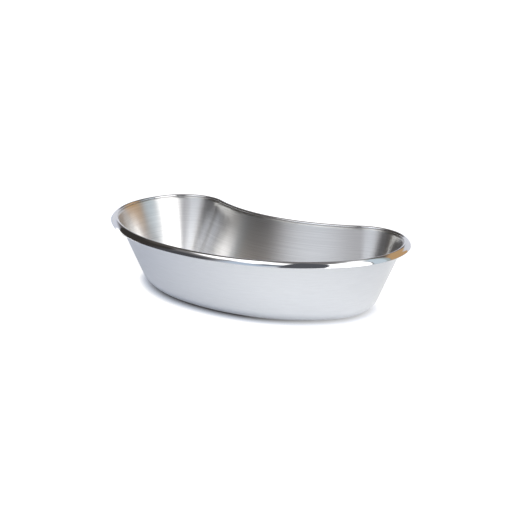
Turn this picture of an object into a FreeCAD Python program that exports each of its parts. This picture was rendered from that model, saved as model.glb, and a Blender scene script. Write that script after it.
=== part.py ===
"""Kidney dish: one stainless sheet, drawn into a kidney-shaped basin with a turned-down lip.

Millimetres, +Z up. The origin is under the middle of the dish, on the surface it stands on.
X is the long way, the bulging front faces -Y and the hollow notch faces +Y. Two named zones of the
sheet are written: the brushed basin (floor and leaning wall) and the polished rim (bend and lip).
They meet face to face on a cut square to the sheet, where the straight wall ends.
"""
import FreeCAD, Part
import math
import os
import Sketcher

START, END, CENTRE = 1, 2, 3          # a sketch curve's own points
X_AXIS, Y_AXIS = -1, -2               # a sketch's axes
ORIGIN_POINT = (X_AXIS, START)

DIMENSIONS = {
    "length": 250.0,           # along X, over the lip
    "width": 138.0,            # along Y, from the front bulge to the tops of the shoulders
    "height": 53.0,            # from the table to the crest of the rim
    "sheet": 0.8,
    "front_radius": 195.0,     # the outline's arcs, at the outer edge of the lip
    "flank_radius": 132.0,
    "end_radius": 63.0,
    "shoulder_radius": 39.0,
    "notch_radius": 132.0,
    "front_turn": 10.0,        # degrees that each half of the front arc turns
    "floor_inset": 36.0,       # level distance from the lip's edge in to the flat floor
    "base_radius": 14.0,       # bend from floor to wall, on the outside
    "wall_lean": 22.9,         # degrees that the wall leans out from upright
    "crest_radius": 1.7,       # bend over the top of the rim, on the upper face
    "lip_radius": 10.0,        # the lip's gentle curve, on the upper face
    "lip_slope": 35.0,         # degrees below level where the lip leaves the crest
}

FRONT_Y = "-Dims.width / 2"
CREST_HEIGHT = "(Dims.height - Dims.crest_radius)"
WALL_START_Y = f"{FRONT_Y} + Dims.floor_inset - Dims.base_radius * cos(Dims.wall_lean)"
WALL_START_Z = "Dims.base_radius * (1 - sin(Dims.wall_lean))"
CREST_Y = (
    f"{WALL_START_Y} - ({CREST_HEIGHT} - {WALL_START_Z}) * tan(Dims.wall_lean)"
    " + (Dims.sheet - Dims.crest_radius) / cos(Dims.wall_lean)"
)


def polar(centre, radius, degrees):
    """The point at an angle and a distance from a centre."""
    angle = math.radians(degrees)
    return centre + FreeCAD.Vector(radius * math.cos(angle), radius * math.sin(angle), 0)


def arc(centre, radius, start_degrees, end_degrees):
    """A counter-clockwise arc in a sketch."""
    circle = Part.Circle(centre, FreeCAD.Vector(0, 0, 1), radius)
    return Part.ArcOfCircle(circle, math.radians(start_degrees), math.radians(end_degrees))


def add_sheet(document):
    """The spreadsheet of driving dimensions, one alias for each."""
    sheet = document.addObject("Spreadsheet::Sheet", "Dims")
    for row, (alias, value) in enumerate(DIMENSIONS.items(), start=1):
        sheet.set(f"A{row}", alias)
        sheet.set(f"B{row}", str(value))
        sheet.setAlias(f"B{row}", alias)
    document.recompute()
    return sheet


def add_body(document, label):
    """An empty body that carries a node's name."""
    body = document.addObject("PartDesign::Body", label)
    body.Label = label
    body.Placement = FreeCAD.Placement()
    return body


def add_sketch(body, name, plane_role):
    """A sketch on one of the body's own origin planes."""
    sketch = body.newObject("Sketcher::SketchObject", name)
    planes = {feature.Role: feature for feature in body.Origin.OriginFeatures}
    sketch.AttachmentSupport = [(planes[plane_role], "")]
    sketch.MapMode = "FlatFace"
    return sketch


def constrain(sketch, kind, *where):
    """A constraint with no size of its own."""
    sketch.addConstraint(Sketcher.Constraint(kind, *where))


def drive(sketch, kind, *where_and_value, formula):
    """A constraint whose size follows the spreadsheet."""
    index = sketch.addConstraint(Sketcher.Constraint(kind, *where_and_value))
    sketch.setExpression(f"Constraints[{index}]", formula)


def chain_arcs(dims, inset):
    """The right half of the outline as (centre, radius, start, end) arcs, and the notch arc.

    Every outline, whatever its inset, shares these centres: only the radii change.
    """
    front_centre = FreeCAD.Vector(0, dims.front_radius - dims.width / 2, 0)
    turn_to_front = dims.front_turn
    flank_centre = polar(front_centre, dims.front_radius - dims.flank_radius, turn_to_front - 90)
    end_x = dims.length / 2 - dims.end_radius
    flank_gap = dims.flank_radius - dims.end_radius
    turn_to_flank = math.degrees(math.asin((end_x - flank_centre.x) / flank_gap))
    end_centre = polar(flank_centre, flank_gap, turn_to_flank - 90)
    end_gap = dims.end_radius - dims.shoulder_radius
    shoulder_y = dims.width / 2 - dims.shoulder_radius
    turn_to_end = math.degrees(math.acos((end_centre.y - shoulder_y) / end_gap))
    shoulder_centre = polar(end_centre, end_gap, turn_to_end - 90)
    notch_gap = dims.shoulder_radius + dims.notch_radius
    turn_to_shoulder = 180 + math.degrees(math.asin(shoulder_centre.x / notch_gap))
    notch_centre = polar(shoulder_centre, notch_gap, turn_to_shoulder - 90)
    turns = (0, turn_to_front, turn_to_flank, turn_to_end, turn_to_shoulder)
    centres = (front_centre, flank_centre, end_centre, shoulder_centre)
    radii = (dims.front_radius, dims.flank_radius, dims.end_radius, dims.shoulder_radius)
    half = [
        (centre, radius - inset, start - 90, end - 90)
        for centre, radius, start, end in zip(centres, radii, turns, turns[1:])
    ]
    notch = (notch_centre, dims.notch_radius + inset, 450 - turn_to_shoulder, turn_to_shoulder + 90)
    return half, notch


def mirrored(centre, radius, start, end):
    """The same arc on the other side of the Y axis."""
    return FreeCAD.Vector(-centre.x, centre.y, 0), radius, 180 - end, 180 - start


def outline_sketch(body, name, dims, inset, inset_formula):
    """A closed kidney outline, moved in from the lip's edge by the inset."""
    sketch = add_sketch(body, name, "XY_Plane")
    half, notch = chain_arcs(dims, inset)
    right = [sketch.addGeometry(arc(*piece)) for piece in half]
    left = [sketch.addGeometry(arc(*mirrored(*piece))) for piece in half]
    hollow = sketch.addGeometry(arc(*notch))
    constrain(sketch, "Coincident", right[0], START, left[0], END)
    constrain(sketch, "Coincident", right[0], CENTRE, left[0], CENTRE)
    constrain(sketch, "PointOnObject", right[0], START, Y_AXIS)
    constrain(sketch, "PointOnObject", right[0], CENTRE, Y_AXIS)
    for near, far in zip(right, right[1:]):
        constrain(sketch, "Tangent", near, END, far, START)
    for near, far in zip(left, left[1:]):
        constrain(sketch, "Tangent", near, START, far, END)
    constrain(sketch, "Tangent", right[-1], END, hollow, END)
    constrain(sketch, "Tangent", left[-1], START, hollow, START)
    size_outline(sketch, half, notch, right, left, hollow, inset_formula)
    return sketch


def size_outline(sketch, half, notch, right, left, hollow, inset_formula):
    """Radii and centres of the outline's arcs, bound to the spreadsheet."""
    names = ("front_radius", "flank_radius", "end_radius", "shoulder_radius")
    drive(sketch, "Radius", right[0], half[0][1], formula=f"Dims.front_radius - {inset_formula}")
    for side in (right, left):
        for index, piece, name in zip(side[1:], half[1:], names[1:]):
            drive(sketch, "Radius", index, piece[1], formula=f"Dims.{name} - {inset_formula}")
    drive(sketch, "Radius", hollow, notch[1], formula=f"Dims.notch_radius + {inset_formula}")
    front_y, flank_x, end_x, shoulder_y = half[0][0].y, half[1][0].x, half[2][0].x, half[3][0].y
    drive(sketch, "DistanceY", *ORIGIN_POINT, right[0], CENTRE, front_y,
          formula="Dims.front_radius - Dims.width / 2")
    flank_formula = "(Dims.front_radius - Dims.flank_radius) * sin(Dims.front_turn)"
    end_formula = "Dims.length / 2 - Dims.end_radius"
    shoulder_formula = "Dims.width / 2 - Dims.shoulder_radius"
    drive(sketch, "DistanceX", *ORIGIN_POINT, right[1], CENTRE, flank_x, formula=flank_formula)
    drive(sketch, "DistanceX", left[1], CENTRE, *ORIGIN_POINT, flank_x, formula=flank_formula)
    drive(sketch, "DistanceX", *ORIGIN_POINT, right[2], CENTRE, end_x, formula=end_formula)
    drive(sketch, "DistanceX", left[2], CENTRE, *ORIGIN_POINT, end_x, formula=end_formula)
    for side in (right, left):
        drive(sketch, "DistanceY", *ORIGIN_POINT, side[3], CENTRE, shoulder_y, formula=shoulder_formula)


def wall_profile(body, dims):
    """The sheet's section from the flat floor, round the base bend and up the leaning wall."""
    sketch = add_sketch(body, "wall_profile", "YZ_Plane")
    lean = dims.wall_lean
    centre = FreeCAD.Vector(dims.floor_inset - dims.width / 2, dims.base_radius, 0)
    inner_radius = dims.base_radius - dims.sheet
    joint_height = dims.height - dims.crest_radius * (1 - math.sin(math.radians(lean)))
    outer_foot = polar(centre, dims.base_radius, 180 + lean)
    inner_foot = polar(centre, inner_radius, 180 + lean)
    rise = (joint_height - inner_foot.y) / math.cos(math.radians(lean))
    outer_top = polar(outer_foot, rise, 90 + lean)
    inner_top = polar(inner_foot, rise, 90 + lean)
    outer_bend = sketch.addGeometry(arc(centre, dims.base_radius, 180 + lean, 270))
    inner_bend = sketch.addGeometry(arc(centre, inner_radius, 180 + lean, 270))
    floor_cut = sketch.addGeometry(
        Part.LineSegment(polar(centre, dims.base_radius, 270), polar(centre, inner_radius, 270)))
    outer_wall = sketch.addGeometry(Part.LineSegment(outer_foot, outer_top))
    inner_wall = sketch.addGeometry(Part.LineSegment(inner_foot, inner_top))
    top_cut = sketch.addGeometry(Part.LineSegment(outer_top, inner_top))
    constrain(sketch, "Coincident", outer_bend, END, floor_cut, START)
    constrain(sketch, "Coincident", inner_bend, END, floor_cut, END)
    constrain(sketch, "Coincident", outer_bend, CENTRE, inner_bend, CENTRE)
    constrain(sketch, "Tangent", outer_bend, START, outer_wall, START)
    constrain(sketch, "Tangent", inner_bend, START, inner_wall, START)
    constrain(sketch, "Coincident", outer_wall, END, top_cut, START)
    constrain(sketch, "Coincident", inner_wall, END, top_cut, END)
    constrain(sketch, "Vertical", floor_cut)
    constrain(sketch, "PointOnObject", outer_bend, END, X_AXIS)
    constrain(sketch, "Vertical", outer_bend, CENTRE, outer_bend, END)
    constrain(sketch, "Parallel", outer_wall, inner_wall)
    constrain(sketch, "Perpendicular", outer_wall, top_cut)
    drive(sketch, "DistanceX", outer_bend, CENTRE, *ORIGIN_POINT, -centre.x,
          formula="Dims.width / 2 - Dims.floor_inset")
    drive(sketch, "Radius", outer_bend, dims.base_radius, formula="Dims.base_radius")
    drive(sketch, "DistanceY", floor_cut, START, floor_cut, END, dims.sheet, formula="Dims.sheet")
    drive(sketch, "Angle", outer_wall, math.radians(90 + lean), formula="(90 + Dims.wall_lean) * 1 deg")
    drive(sketch, "DistanceY", *ORIGIN_POINT, inner_wall, END, joint_height,
          formula="Dims.height - Dims.crest_radius * (1 - sin(Dims.wall_lean))")
    return sketch


def crest_centre(dims):
    """Centre of the bend over the top of the rim, in the YZ plane at the middle of the front."""
    lean = math.radians(dims.wall_lean)
    wall_y = dims.floor_inset - dims.width / 2 - dims.base_radius * math.cos(lean)
    climb = dims.height - dims.crest_radius - dims.base_radius * (1 - math.sin(lean))
    across = (dims.sheet - dims.crest_radius) / math.cos(lean)
    return FreeCAD.Vector(wall_y - climb * math.tan(lean) + across, dims.height - dims.crest_radius, 0)


def rim_profile(body, dims):
    """The sheet's section over the crest and down the curved lip to its cut edge."""
    sketch = add_sketch(body, "rim_profile", "YZ_Plane")
    crest = crest_centre(dims)
    lip_start = 90 + dims.lip_slope
    lip_centre = polar(crest, dims.lip_radius - dims.crest_radius, lip_start - 180)
    reach = (lip_centre.x + dims.width / 2) / dims.lip_radius
    lip_end = 90 + math.degrees(math.asin(reach))
    crest_arcs = []
    lip_arcs = []
    for depth in (0, dims.sheet):
        bend = arc(crest, dims.crest_radius - depth, dims.wall_lean, lip_start)
        lip = arc(lip_centre, dims.lip_radius - depth, lip_start, lip_end)
        crest_arcs.append(sketch.addGeometry(bend))
        lip_arcs.append(sketch.addGeometry(lip))
        constrain(sketch, "Tangent", crest_arcs[-1], END, lip_arcs[-1], START)
    upper_bend, under_bend = crest_arcs
    upper_lip, under_lip = lip_arcs
    inner_crest = dims.crest_radius - dims.sheet
    inner_lip = dims.lip_radius - dims.sheet
    wall_cut = sketch.addGeometry(Part.LineSegment(
        polar(crest, dims.crest_radius, dims.wall_lean), polar(crest, inner_crest, dims.wall_lean)))
    edge_cut = sketch.addGeometry(Part.LineSegment(
        polar(lip_centre, dims.lip_radius, lip_end), polar(lip_centre, inner_lip, lip_end)))
    constrain(sketch, "Coincident", upper_bend, CENTRE, under_bend, CENTRE)
    constrain(sketch, "Coincident", upper_lip, CENTRE, under_lip, CENTRE)
    constrain(sketch, "Coincident", upper_bend, START, wall_cut, START)
    constrain(sketch, "Coincident", under_bend, START, wall_cut, END)
    constrain(sketch, "Coincident", upper_lip, END, edge_cut, START)
    constrain(sketch, "Coincident", under_lip, END, edge_cut, END)
    constrain(sketch, "PointOnObject", upper_bend, CENTRE, wall_cut)
    constrain(sketch, "PointOnObject", upper_lip, CENTRE, edge_cut)
    drive(sketch, "Radius", upper_bend, dims.crest_radius, formula="Dims.crest_radius")
    drive(sketch, "Radius", under_bend, inner_crest, formula="Dims.crest_radius - Dims.sheet")
    drive(sketch, "Radius", upper_lip, dims.lip_radius, formula="Dims.lip_radius")
    drive(sketch, "DistanceX", upper_bend, CENTRE, *ORIGIN_POINT, -crest.x, formula=f"-({CREST_Y})")
    drive(sketch, "DistanceY", *ORIGIN_POINT, upper_bend, CENTRE, crest.y, formula=CREST_HEIGHT)
    drive(sketch, "DistanceX", upper_bend, CENTRE, upper_lip, CENTRE, lip_centre.x - crest.x,
          formula="(Dims.lip_radius - Dims.crest_radius) * sin(Dims.lip_slope)")
    drive(sketch, "DistanceX", upper_lip, END, *ORIGIN_POINT, dims.width / 2, formula="Dims.width / 2")
    drive(sketch, "Angle", wall_cut, math.radians(180 + dims.wall_lean),
          formula="(180 + Dims.wall_lean) * 1 deg")
    return sketch


def sweep_round(body, name, profile, spine):
    """The profile carried once round the outline."""
    pipe = body.newObject("PartDesign::AdditivePipe", name)
    pipe.Profile = profile
    pipe.Spine = (spine, [])
    pipe.Mode = "Standard"


def build_basin(document, dims):
    """The flat floor and the wall that grows out of it."""
    body = add_body(document, "basin")
    outline = outline_sketch(body, "floor_outline", dims, dims.floor_inset, "Dims.floor_inset")
    floor = body.newObject("PartDesign::Pad", "floor")
    floor.Profile = outline
    floor.setExpression("Length", "Dims.sheet")
    document.recompute()
    sweep_round(body, "wall", wall_profile(body, dims), outline)
    document.recompute()
    return body


def build_rim(document, dims):
    """The bend over the top of the wall and the lip that turns down outside it."""
    body = add_body(document, "rim")
    outline = outline_sketch(body, "rim_outline", dims, 0, "0")
    sweep_round(body, "lip", rim_profile(body, dims), outline)
    document.recompute()
    return body


def check(document, bodies):
    """Stop on anything that failed to recompute, and on any shape that isn't one sound solid."""
    failed = [item.Name for item in document.Objects if {"Invalid", "Error"} & set(item.State)]
    if failed:
        raise RuntimeError(f"failed to recompute: {failed}")
    for body in bodies:
        shape = body.Shape
        if shape.isNull() or not shape.isValid() or len(shape.Solids) != 1:
            raise RuntimeError(f"{body.Label} is not one valid solid")


def main():
    document = FreeCAD.newDocument("kidney_dish")
    dims = add_sheet(document)
    bodies = [build_basin(document, dims), build_rim(document, dims)]
    check(document, bodies)
    os.makedirs("parts", exist_ok=True)
    for body in bodies:
        body.Shape.exportStep(f"parts/{body.Label}.step")


main()
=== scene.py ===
"""Kidney dish in brushed and polished stainless steel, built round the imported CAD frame.

Metres, in the CAD's own frame: +Z up, X along the length, the bulging front towards -Y.
The sheet is remade as two fine meshes that follow the same outline and section as the CAD nodes:
the basin (floor, bend and wall) and the rim (crest bend and turned-down lip).
"""
import math

import bpy
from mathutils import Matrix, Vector


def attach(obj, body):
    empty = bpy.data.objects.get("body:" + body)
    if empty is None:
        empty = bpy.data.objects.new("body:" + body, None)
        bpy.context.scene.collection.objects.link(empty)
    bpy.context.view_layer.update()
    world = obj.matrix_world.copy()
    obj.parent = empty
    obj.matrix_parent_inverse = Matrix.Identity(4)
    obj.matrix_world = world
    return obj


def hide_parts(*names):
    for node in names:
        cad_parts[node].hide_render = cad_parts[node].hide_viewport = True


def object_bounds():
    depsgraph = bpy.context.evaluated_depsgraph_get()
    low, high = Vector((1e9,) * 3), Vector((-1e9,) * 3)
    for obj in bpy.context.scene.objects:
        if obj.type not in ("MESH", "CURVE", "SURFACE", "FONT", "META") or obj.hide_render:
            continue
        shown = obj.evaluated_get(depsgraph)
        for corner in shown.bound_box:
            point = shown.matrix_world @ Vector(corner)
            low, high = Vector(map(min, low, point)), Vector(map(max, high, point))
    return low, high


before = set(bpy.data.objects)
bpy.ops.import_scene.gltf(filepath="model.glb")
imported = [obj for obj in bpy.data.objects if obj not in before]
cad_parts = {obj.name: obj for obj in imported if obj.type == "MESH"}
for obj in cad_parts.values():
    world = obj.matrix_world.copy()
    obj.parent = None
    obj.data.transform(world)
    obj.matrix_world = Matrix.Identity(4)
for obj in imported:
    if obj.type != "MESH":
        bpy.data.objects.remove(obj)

MM = 0.001
CAD_LOW, CAD_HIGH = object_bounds()
LENGTH = CAD_HIGH.x - CAD_LOW.x
WIDTH = CAD_HIGH.y - CAD_LOW.y
HEIGHT = CAD_HIGH.z - CAD_LOW.z

# The outline's arcs at the outer edge of the lip, as in the CAD.
FRONT_RADIUS = 195 * MM
FLANK_RADIUS = 132 * MM
END_RADIUS = 63 * MM
SHOULDER_RADIUS = 39 * MM
NOTCH_RADIUS = 132 * MM
FRONT_TURN = 10.0

# The sheet's section, as in the CAD.
SHEET = 0.8 * MM
FLOOR_INSET = 36 * MM
BASE_RADIUS = 14 * MM
WALL_LEAN = 22.9
CREST_RADIUS = 1.7 * MM
LIP_RADIUS = 10 * MM
LIP_SLOPE = 35.0

# How finely the meshes are divided.
STATION_STEP = 1.4 * MM        # along the outline
BASE_STEPS = 14
WALL_STEPS = 22
CREST_STEPS = 14
LIP_STEPS = 10


# ---------------------------------------------------------------- outline

def polar(centre, radius, degrees):
    """The point of the plane at an angle and a distance from a centre."""
    angle = math.radians(degrees)
    return centre + radius * Vector((math.cos(angle), math.sin(angle)))


def outline_arcs():
    """The closed outline as (centre, radius, start, end, bulge) arcs, from the middle of the front.

    bulge is 1 where the outline curves outwards and -1 in the notch.
    """
    front = Vector((0, FRONT_RADIUS - WIDTH / 2))
    flank = polar(front, FRONT_RADIUS - FLANK_RADIUS, FRONT_TURN - 90)
    end_x = LENGTH / 2 - END_RADIUS
    flank_turn = math.degrees(math.asin((end_x - flank.x) / (FLANK_RADIUS - END_RADIUS)))
    end = polar(flank, FLANK_RADIUS - END_RADIUS, flank_turn - 90)
    rise = end.y - (WIDTH / 2 - SHOULDER_RADIUS)
    end_turn = math.degrees(math.acos(rise / (END_RADIUS - SHOULDER_RADIUS)))
    shoulder = polar(end, END_RADIUS - SHOULDER_RADIUS, end_turn - 90)
    reach = SHOULDER_RADIUS + NOTCH_RADIUS
    shoulder_turn = 180 + math.degrees(math.asin(shoulder.x / reach))
    notch = polar(shoulder, reach, shoulder_turn - 90)
    right = [
        (front, FRONT_RADIUS, -90, FRONT_TURN - 90, 1),
        (flank, FLANK_RADIUS, FRONT_TURN - 90, flank_turn - 90, 1),
        (end, END_RADIUS, flank_turn - 90, end_turn - 90, 1),
        (shoulder, SHOULDER_RADIUS, end_turn - 90, shoulder_turn - 90, 1),
        (notch, NOTCH_RADIUS, shoulder_turn + 90, 270, -1),
    ]
    left = [
        (Vector((-centre.x, centre.y)), radius, 180 - last, 180 - first, bulge)
        for centre, radius, first, last, bulge in reversed(right)
    ]
    return right + left


def stations():
    """Evenly spaced stations round the outline as (outer point, outward direction, distance run).

    The whole distance round is given back too.
    """
    result = []
    run = 0.0
    for centre, radius, first, last, bulge in outline_arcs():
        length = radius * math.radians(abs(last - first))
        count = max(2, round(length / STATION_STEP))
        for index in range(count):
            angle = first + (last - first) * index / count
            outward = bulge * polar(Vector((0, 0)), 1.0, angle)
            result.append((polar(centre, radius, angle), outward, run + length * index / count))
        run += length
    return result, run


# ---------------------------------------------------------------- sections
# A section's x is outwards from the lip's edge and its y is up, so an angle of 0 is straight out,
# 90 is up and 270 is down.

def bend(centre, radius, first, last, count):
    """Points of a bend in the section, both ends included."""
    return [polar(centre, radius, first + (last - first) * i / count) for i in range(count + 1)]


def crest_centre():
    """Centre of the bend over the rim."""
    lean = math.radians(WALL_LEAN)
    wall_out = BASE_RADIUS * math.cos(lean) - FLOOR_INSET
    climb = HEIGHT - CREST_RADIUS - BASE_RADIUS * (1 - math.sin(lean))
    across = (CREST_RADIUS - SHEET) / math.cos(lean)
    return Vector((wall_out + climb * math.tan(lean) + across, HEIGHT - CREST_RADIUS))


def wall_face(depth):
    """The basin's section at a depth into the sheet from its outside: base bend, then wall."""
    centre = Vector((-FLOOR_INSET, BASE_RADIUS))
    points = bend(centre, BASE_RADIUS - depth, 270, 360 - WALL_LEAN, BASE_STEPS)
    foot = points[-1]
    top = polar(crest_centre(), CREST_RADIUS - SHEET + depth, 180 - WALL_LEAN)
    return points + [foot.lerp(top, i / WALL_STEPS) for i in range(1, WALL_STEPS + 1)]


def rim_face(depth):
    """The rim's section at a depth into the sheet from its upper face: crest bend, then lip."""
    crest = crest_centre()
    slope = 90 - LIP_SLOPE
    lip = polar(crest, LIP_RADIUS - CREST_RADIUS, slope - 180)
    lip_end = math.degrees(math.acos(-lip.x / LIP_RADIUS))
    over = bend(crest, CREST_RADIUS - depth, 180 - WALL_LEAN, slope, CREST_STEPS)
    return over + bend(lip, LIP_RADIUS - depth, slope, lip_end, LIP_STEPS)[1:]


# ---------------------------------------------------------------- meshes

BRUSHING = "brushing"          # the map that runs with the brushing
INSIDE, OUTSIDE, EDGE = 0, 1, 2    # the basin's material slots


def section_runs(points):
    """Distance run along a section, point by point and back to the first."""
    runs = [0.0]
    for near, far in zip(points, points[1:] + points[:1]):
        runs.append(runs[-1] + (far - near).length)
    return runs


def sweep(section, slots, closed):
    """A section carried round the outline: its vertices, faces, map places and material slots.

    The map's first axis runs up the section and the second round the outline, both in metres.
    """
    rail, whole = stations()
    vertices = [
        (*(place + outward * point.x), point.y) for place, outward, _ in rail for point in section
    ]
    rows = len(section)
    spans = rows if closed else rows - 1
    across = section_runs(section)
    faces, maps, face_slots = [], [], []
    for here, (_, _, run) in enumerate(rail):
        there = (here + 1) % len(rail)
        run_next = rail[there][2] if there else whole
        near, far = here * rows, there * rows
        for row in range(spans):
            above = (row + 1) % rows
            faces.append((near + row, far + row, far + above, near + above))
            low, high = across[row], across[row + 1]
            maps += [(low, run), (low, run_next), (high, run_next), (high, run)]
            face_slots.append(slots[row])
    return vertices, faces, maps, face_slots


def make_piece(name, vertices, faces, maps, face_slots, materials):
    """A smooth-shaded mesh object with its brushing map and materials."""
    mesh = bpy.data.meshes.new(name)
    mesh.from_pydata(vertices, [], faces)
    layer = mesh.uv_layers.new(name=BRUSHING)
    for loop, place in zip(layer.data, maps):
        loop.uv = place
    for material in materials:
        mesh.materials.append(material)
    mesh.polygons.foreach_set("material_index", face_slots)
    mesh.polygons.foreach_set("use_smooth", [True] * len(faces))
    mesh.update()
    piece = bpy.data.objects.new(name, mesh)
    bpy.context.scene.collection.objects.link(piece)
    return piece


def build_basin(materials):
    """Floor, base bend and wall: both faces of the sheet, and the cut edge under the rim."""
    outer = wall_face(0)
    inner = wall_face(SHEET)
    section = outer + inner[::-1]
    slots = [OUTSIDE] * (len(outer) - 1) + [EDGE] + [INSIDE] * (len(inner) - 1)
    vertices, faces, maps, face_slots = sweep(section, slots, closed=False)
    rows = len(section)
    under = list(range(0, len(vertices), rows))
    upper = list(range(rows - 1, len(vertices), rows))
    for ring, slot in ((under[::-1], OUTSIDE), (upper, INSIDE)):
        faces.append(tuple(ring))
        maps += [(vertices[i][1], vertices[i][0]) for i in ring]
        face_slots.append(slot)
    piece = make_piece("basin_sheet", vertices, faces, maps, face_slots, materials)
    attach(piece, "root")
    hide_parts("basin")


def build_rim(materials):
    """The bend over the top of the wall and the lip that turns down outside it."""
    upper = rim_face(0)
    under = rim_face(SHEET)
    section = under + upper[::-1]
    vertices, faces, maps, face_slots = sweep(section, [0] * len(section), closed=True)
    piece = make_piece("rim_lip", vertices, faces, maps, face_slots, materials)
    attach(piece, "root")
    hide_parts("rim")


# ---------------------------------------------------------------- node trees

class Tree:
    """Builds a node tree. An input is given as a plain value or as another node's output."""

    def __init__(self, tree):
        self.tree = tree

    def feed(self, socket, value):
        """Link an output to a socket, or set the socket's plain value. A colour has no alpha."""
        if isinstance(value, bpy.types.NodeSocket):
            self.tree.links.new(value, socket)
        elif socket.type == "RGBA":
            socket.default_value = (*value, 1)
        else:
            socket.default_value = value

    def add(self, kind, inputs=None, **settings):
        """A new node."""
        node = self.tree.nodes.new(kind)
        for key, value in settings.items():
            setattr(node, key, value)
        for key, value in (inputs or {}).items():
            self.feed(node.inputs[key], value)
        return node

    def maths(self, operation, *values):
        """A sum, product or other function of numbers."""
        node = self.add("ShaderNodeMath", dict(enumerate(values)), operation=operation)
        return node.outputs[0]

    def rescale(self, value, source, target, **settings):
        """A number taken from one range to another, and held at the ends."""
        ranges = zip(("From Min", "From Max", "To Min", "To Max"), (*source, *target))
        node = self.add("ShaderNodeMapRange", {"Value": value, **dict(ranges)}, **settings)
        return node.outputs["Result"]

    def mix(self, factor, first, second, blend="MIX"):
        """A colour between two others, or with another blend their product."""
        factor_socket, first_socket, second_socket, colour_output = 0, 6, 7, 2
        inputs = {factor_socket: factor, first_socket: first, second_socket: second}
        node = self.add("ShaderNodeMix", inputs, data_type="RGBA", blend_type=blend)
        return node.outputs[colour_output]

    def scale(self, colour, factor):
        """A colour made lighter or darker."""
        node = self.add("ShaderNodeVectorMath", {0: colour, "Scale": factor}, operation="SCALE")
        return node.outputs["Vector"]

    def ramp(self, factor, stops, interpolation="LINEAR"):
        """A colour looked up among (position, colour) stops."""
        node = self.add("ShaderNodeValToRGB", {"Fac": factor})
        node.color_ramp.interpolation = interpolation
        elements = node.color_ramp.elements
        first, *middle, last = stops
        for element, (position, colour) in zip(elements, (first, last)):
            element.position = position
            element.color = (*colour, 1)
        for position, colour in middle:
            elements.new(position).color = (*colour, 1)
        return node.outputs["Color"]

    def noise(self, place, density, detail, roughness):
        """Noise with its own density along each axis."""
        stretch = self.add("ShaderNodeVectorMath", {0: place, 1: density}, operation="MULTIPLY")
        inputs = {"Vector": stretch.outputs["Vector"], "Scale": 1.0, "Detail": detail,
                  "Roughness": roughness}
        return self.add("ShaderNodeTexNoise", inputs).outputs["Fac"]

    def coordinate(self, axis):
        """The place along one of the object's axes."""
        place = self.add("ShaderNodeTexCoord").outputs["Object"]
        return self.add("ShaderNodeSeparateXYZ", {0: place}).outputs[axis]

    def seen_by_camera(self):
        """1 for the camera's own rays and 0 in reflections and light."""
        return self.add("ShaderNodeLightPath").outputs["Is Camera Ray"]


class Surface(Tree):
    """The node tree of a new material."""

    def __init__(self, name):
        self.material = bpy.data.materials.new(name)
        self.material.use_nodes = True
        super().__init__(self.material.node_tree)

    def finish(self, inputs):
        """Set the shader's inputs and give back the material."""
        shader = self.tree.nodes["Principled BSDF"]
        for key, value in inputs.items():
            self.feed(shader.inputs[key], value)
        return self.material


# ---------------------------------------------------------------- steel

BRUSHED_ROUGHNESS = 0.33
LINE_ROUGHNESS = 0.2                # how far the fine lines move the roughness, either way
LINE_HEIGHT = 0.02 * MM
LINES = {"detail": 3.0, "roughness": 0.7}
STREAKS = {"detail": 2.0, "roughness": 0.5}
STREAK_WIDTH = 3.5                  # against a fine line's
STREAK_ENDS = (0.38, 0.62)          # the noise's levels at the darkest and the lightest streak
PAINTED_LIGHT_FOOT_HEIGHT = 0.4 * HEIGHT      # painted light: the finish is painted lighter from the top down to here

HAZE = {"density": (60, 60, 60), "detail": 4.0, "roughness": 0.5}
HAZE_ROUGHNESS = 0.4                # how far the haze moves the roughness, either way


def either_way(middle, share):
    """The range that reaches a share of a number below and above it."""
    return middle * (1 - share), middle * (1 + share)


def brushed_steel(name, colour, anisotropy, grain, depth, contrast, painted_light_gain):
    """Steel with fine lines and broader streaks that run round the dish, drawn on the brushing map.

    grain is the lines' density up the section and round the outline. depth is how deep they look,
    contrast how much the streaks differ, and the last one how much lighter the foot of the wall is
    painted: painted light, standing in for the brighter reflections low on the wall.
    """
    nodes = Surface(name)
    place = nodes.add("ShaderNodeUVMap", uv_map=BRUSHING).outputs["UV"]
    density = Vector((*grain, 0))
    lines = nodes.noise(place, density, **LINES)
    streaks = nodes.noise(place, density / STREAK_WIDTH, **STREAKS)
    average = nodes.maths("MULTIPLY", nodes.maths("ADD", lines, streaks), 0.5)
    shades = zip(*(either_way(channel, contrast) for channel in colour))
    tint = nodes.ramp(average, zip(STREAK_ENDS, shades))
    # Painted light: the base colour gets lighter from the top of the wall down towards its foot, in
    # place of reflected light.
    painted_lightness = nodes.rescale(nodes.coordinate("Z"), (HEIGHT, PAINTED_LIGHT_FOOT_HEIGHT), (1, 1 + painted_light_gain))
    bump = nodes.add("ShaderNodeBump", {"Height": lines, "Strength": depth, "Distance": LINE_HEIGHT})
    tangent = nodes.add("ShaderNodeTangent", direction_type="UV_MAP", uv_map=BRUSHING)
    return nodes.finish({
        "Base Color": nodes.scale(tint, painted_lightness),
        "Roughness": nodes.rescale(lines, (0, 1), either_way(BRUSHED_ROUGHNESS, LINE_ROUGHNESS)),
        "Normal": bump.outputs["Normal"],
        "Tangent": tangent.outputs["Tangent"],
        "Metallic": 1.0,
        "Anisotropic": anisotropy,
    })


def polished_steel(name, colour, roughness):
    """Mirror polish with a faint buffing haze."""
    nodes = Surface(name)
    haze = nodes.noise(nodes.add("ShaderNodeTexCoord").outputs["Object"], **HAZE)
    return nodes.finish({
        "Base Color": colour,
        "Roughness": nodes.rescale(haze, (0, 1), either_way(roughness, HAZE_ROUGHNESS)),
        "Metallic": 1.0,
    })


# ---------------------------------------------------------------- stage floor

FLOOR_HALF = 12.0
FLOOR_ROUGHNESS = 0.8

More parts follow.
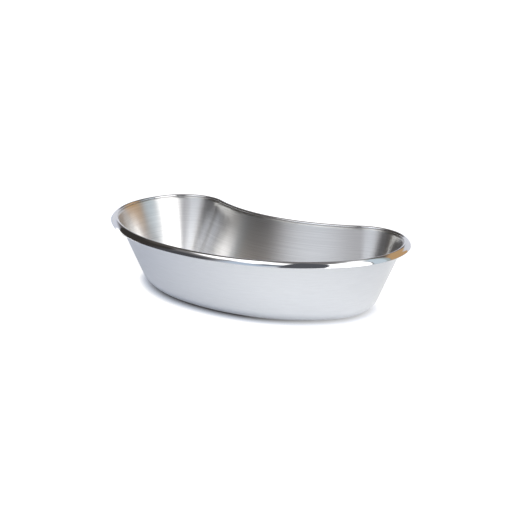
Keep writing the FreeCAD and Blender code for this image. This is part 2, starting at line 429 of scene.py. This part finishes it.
# What the floor gives to reflections, along X from one side of the dish to the other: a painted
# light falloff, darker and bluer towards -X, brightest a little past the middle and darker again
# towards +X.
FLOOR_SPAN = (-0.19, 0.24)
FLOOR_PAINTED_FALLOFF = ((0.0, (0.52, 0.55, 0.62)), (0.63, (0.80, 0.81, 0.82)), (1.0, (0.64, 0.66, 0.69)))
FLOOR_GLOW = 0.5                    # against its tint

# What the camera sees of it: near white, by its own glow.
SEEN_PAINT = (0.22, 0.225, 0.24)
SEEN_GLOW = (0.96, 0.96, 0.96)

# The shadow where the dish meets the floor, by how open the floor is above. It fades along X,
# towards the side that the light comes from.
CONTACT_REACH = 0.009
CONTACT_SAMPLES = 32
CONTACT_TINTS = ((0.1, (0.01, 0.005, 0.0)), (0.45, (0.47, 0.50, 0.56)), (0.82, (1.0, 1.0, 1.0)))
CONTACT_FADE_SPAN = (0.025, 0.13)
CONTACT_FADE = 0.7

WHITE = (1.0, 1.0, 1.0)


def floor_material():
    """White sweep: bright where the camera sees it, and in the reflections tinted along X with a
    painted light falloff.
    """
    nodes = Surface("studio_white")
    along = nodes.coordinate("X")
    # Painted light falloff: the floor's colour and glow in the reflections change along X.
    tint = nodes.ramp(nodes.rescale(along, FLOOR_SPAN, (0, 1)), FLOOR_PAINTED_FALLOFF, "EASE")
    openness = nodes.add("ShaderNodeAmbientOcclusion", {"Distance": CONTACT_REACH},
                         samples=CONTACT_SAMPLES).outputs["AO"]
    fade = nodes.rescale(along, CONTACT_FADE_SPAN, (0, CONTACT_FADE))
    shadow = nodes.mix(fade, nodes.ramp(openness, CONTACT_TINTS), WHITE)
    seen = nodes.seen_by_camera()
    glow = nodes.mix(seen, nodes.scale(tint, FLOOR_GLOW), SEEN_GLOW)
    return nodes.finish({
        "Base Color": nodes.mix(seen, tint, SEEN_PAINT),
        "Emission Color": nodes.mix(1.0, glow, shadow, "MULTIPLY"),
        "Emission Strength": 1.0,
        "Roughness": FLOOR_ROUGHNESS,
    })


def add_floor():
    """The stage floor under the dish."""
    half = FLOOR_HALF
    mesh = bpy.data.meshes.new("floor")
    corners = [(-half, -half, 0), (half, -half, 0), (half, half, 0), (-half, half, 0)]
    mesh.from_pydata(corners, [], [(0, 1, 2, 3)])
    mesh.materials.append(floor_material())
    floor = bpy.data.objects.new("floor", mesh)
    bpy.context.scene.collection.objects.link(floor)


# ---------------------------------------------------------------- camera

CAMERA_AZIMUTH = 36.7
CAMERA_ELEVATION = 17.1
CAMERA_DISTANCE = 0.971
CAMERA_LENS = 91.4
CAMERA_NEAR = 0.01
AIM = Vector((0, -0.007, 0.030))
AIM_SHIFT_RIGHT = 0.0145
AIM_SHIFT_UP = 0.0038


def camera_axes():
    """The camera's backward, right and upward directions."""
    azimuth, elevation = math.radians(CAMERA_AZIMUTH), math.radians(CAMERA_ELEVATION)
    level = math.cos(elevation)
    back = Vector((math.sin(azimuth) * level, -math.cos(azimuth) * level, math.sin(elevation)))
    right = Vector((math.cos(azimuth), math.sin(azimuth), 0))
    return back, right, back.cross(right)


def add_camera():
    """The camera, turned a little aside from the dish to frame it."""
    back, right, up = camera_axes()
    data = bpy.data.cameras.new("camera")
    data.lens = CAMERA_LENS
    data.clip_start = CAMERA_NEAR
    camera = bpy.data.objects.new("camera", data)
    bpy.context.scene.collection.objects.link(camera)
    place = AIM + back * CAMERA_DISTANCE
    target = AIM + right * AIM_SHIFT_RIGHT + up * AIM_SHIFT_UP
    camera.location = place
    camera.rotation_mode = "QUATERNION"
    camera.rotation_quaternion = (target - place).to_track_quat("-Z", "Y")
    bpy.context.scene.camera = camera


# ---------------------------------------------------------------- studio

# Soft boxes and cards hung round the dish, each (azimuth range, elevation range, lean, softness of
# its sides, softness of its top and bottom, colour) in degrees. Azimuth 0 is in front of the dish, at
# -Y, and 90 is at +X. Lean is how far the sides move round for each degree up. A later card hangs in
# front of an earlier one.
STUDIO_BASE = (0.26, 0.25, 0.25)
SOFT_BOX = (2.2, 2.2, 2.2)
STUDIO_CARDS = {
    "back_wall": ((136, 262), (-20, 60), 0, 3, 6, (0.16, 0.145, 0.14)),
    "back_floor": ((118, 262), (-30, 15), 0, 3, 5, (0.80, 0.83, 0.93)),
    "back_top": ((96, 182), (60, 74), 0, 6, 5, (1.2, 1.2, 1.2)),
    "front_glow": ((-28, 48), (-30, 56), 0, 17, 9, (0.97, 1.0, 1.06)),
    "blue_sheet": ((-31, 7), (40, 60), 0, 11, 8, (0.60, 0.72, 0.88)),
    "dark_room": ((-117, -52), (8, 47), -1.0, 1, 2, (0.052, 0.047, 0.043)),
    "dark_shelf": ((-125, -82), (40, 62), 0, 6, 6, (0.12, 0.11, 0.10)),
    "dark_corner": ((-66, -33), (3, 47), 0, 8, 4, (0.09, 0.092, 0.10)),
    "low_window": ((-104, -71), (-20, 9.5), 0, 3, 3.5, (3.2, 3.2, 3.1)),
    "overhead_left": ((-76, -45), (54, 78), 0, 3, 3, SOFT_BOX),
    "overhead_front": ((-58, 14), (59, 80), 0, 5, 4, SOFT_BOX),
    "stand_edge": ((-9, 24), (52, 65), 0, 6, 3, (0.24, 0.28, 0.34)),
    "camera_stand": ((15, 68), (41, 90), 0, 3, 5, (0.12, 0.125, 0.14)),
    "low_flag": ((10, 47), (8, 38), 0, 5, 4, (0.74, 0.75, 0.80)),
    "tan_card": ((134, 182), (2, 42), 0.65, 1.5, 4, (0.66, 0.42, 0.21)),
    "back_panel": ((182, 250), (-30, 20), -0.6, 1.5, 3, (0.82, 0.84, 0.90)),
    "grey_card": ((126, 146), (22, 60), 0.65, 1.5, 4, (0.50, 0.56, 0.55)),
    "pale_card": ((106, 131), (2, 60), 0.65, 1.5, 4, (0.72, 0.84, 0.92)),
    "side_box": ((52, 112), (18, 72), 0.65, 1.5, 3, (2.8, 2.8, 2.8)),
}


def ray_angles(nodes):
    """The azimuth and elevation of the direction that a ray goes in, in degrees."""
    direction = nodes.add("ShaderNodeTexCoord").outputs["Generated"]
    parts = nodes.add("ShaderNodeSeparateXYZ", {0: direction}).outputs
    ahead = nodes.maths("MULTIPLY", parts["Y"], -1)
    azimuth = nodes.maths("DEGREES", nodes.maths("ARCTAN2", parts["X"], ahead))
    elevation = nodes.maths("DEGREES", nodes.maths("ARCSINE", parts["Z"]))
    return azimuth, elevation


def within(nodes, offset, span, softness):
    """1 where an angle's offset from the middle of a span is inside the span, with soft ends."""
    half = (span[1] - span[0]) / 2
    distance = nodes.maths("ABSOLUTE", offset)
    edge = (half - softness, half + softness)
    return nodes.rescale(distance, edge, (1, 0), interpolation_type="SMOOTHSTEP")


def add_world():
    """The studio: cards and soft boxes painted by direction, and plain white behind the dish."""
    world = bpy.data.worlds.new("studio")
    world.use_nodes = True
    nodes = Tree(world.node_tree)
    azimuth, elevation = ray_angles(nodes)
    colour = STUDIO_BASE
    for azimuths, elevations, lean, side_fade, end_fade, tint in STUDIO_CARDS.values():
        above = nodes.maths("SUBTRACT", elevation, sum(elevations) / 2)
        upright = nodes.maths("ADD", azimuth, nodes.maths("MULTIPLY", above, -lean))
        beside = nodes.maths("SUBTRACT", upright, sum(azimuths) / 2)
        across = within(nodes, nodes.maths("WRAP", beside, 180, -180), azimuths, side_fade)
        along = within(nodes, above, elevations, end_fade)
        colour = nodes.mix(nodes.maths("MULTIPLY", across, along), colour, tint)
    backdrop = nodes.mix(nodes.seen_by_camera(), colour, WHITE)
    nodes.feed(world.node_tree.nodes["Background"].inputs["Color"], backdrop)
    bpy.context.scene.world = world
    bpy.context.scene.view_settings.view_transform = "Standard"


def main():
    """The dish, the stage floor, the camera and the studio."""
    # Both brushed finishes are painted lighter towards the foot of the wall, 28 % inside and 6 %
    # outside: painted light.
    inside = brushed_steel("brushed_inside", (0.64, 0.635, 0.63), anisotropy=0.85,
                           grain=(5000, 40), depth=0.5, contrast=0.09, painted_light_gain=0.28)
    outside = brushed_steel("satin_outside", (0.655, 0.663, 0.678), anisotropy=0.4,
                            grain=(3000, 200), depth=0.1, contrast=0.025, painted_light_gain=0.06)
    mirror = polished_steel("mirror_rim", (0.68, 0.68, 0.69), roughness=0.05)
    build_basin([inside, outside, mirror])
    build_rim([mirror])
    add_floor()
    add_camera()
    add_world()


main()
